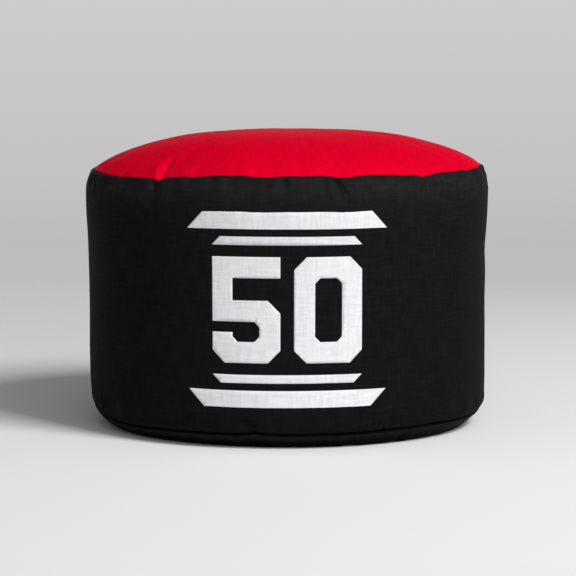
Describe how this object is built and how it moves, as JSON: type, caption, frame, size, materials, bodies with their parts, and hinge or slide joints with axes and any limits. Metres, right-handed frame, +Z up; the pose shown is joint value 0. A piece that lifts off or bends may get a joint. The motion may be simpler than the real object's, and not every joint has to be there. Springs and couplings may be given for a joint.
{
  "type": "sandbag trainer",
  "caption": "Round drum-shaped cloth bag filled with sand, with a crowned top and a zip sunk in its base, for lifting and throwing exercises.",
  "frame": {"origin": "on the floor, under the middle of the bag", "axes": "+Z up through the middle of the bag, -Y towards its printed front, +X along the base zip towards its closed end"},
  "size_m": [0.4, 0.4, 0.2933],
  "materials": {
    "red_cloth": "woven nylon, matt",
    "black_cloth": "woven nylon, matt",
    "binding": "woven tape",
    "zip_tape": "herringbone tape",
    "zip_teeth": "moulded acetal",
    "zip_metal": "black enamel on zinc",
    "liner": "coated ripstop",
    "grip_strip": "hook and loop pile",
    "sand": "dry sand",
    "print_ink": "screen-printed ink"
  },
  "bodies": {
    "bag": {"top_panel": "red_cloth", "side_panel": "black_cloth", "base_panel_front": "black_cloth", "base_panel_rear": "black_cloth", "base_end_tab_left": "black_cloth", "base_end_tab_right": "black_cloth", "top_seam_binding": "binding", "base_seam_binding": "binding", "side_seam_binding": "binding", "zip_tape_front": "zip_tape", "zip_tape_rear": "zip_tape", "zip_teeth_front": "zip_teeth", "zip_teeth_rear": "zip_teeth", "zip_top_stop_front": "zip_teeth", "zip_top_stop_rear": "zip_teeth", "zip_bottom_stop": "zip_teeth", "liner_bag": "liner", "liner_neck": "liner", "liner_hook_strip": "grip_strip", "liner_loop_strip": "grip_strip", "sand_fill": "sand"},
    "slider": {"zip_slider": "zip_metal"},
    "pull_tab": {"zip_pull_tab": "zip_metal"}
  },
  "joints": [
    {"name": "zip_slide", "type": "slide", "parent": "bag", "child": "slider", "axis": [1, 0, 0], "range_m": [-0.2146, 0], "deforming": ["zip_teeth_front", "zip_teeth_rear", "zip_tape_front", "zip_tape_rear"]},
    {"name": "pull_tab_swing", "type": "hinge", "parent": "slider", "child": "pull_tab", "pos_m": [0.1073, 0, 0.005], "axis": [0, -1, 0], "range_deg": [0, 180]}
  ]
}
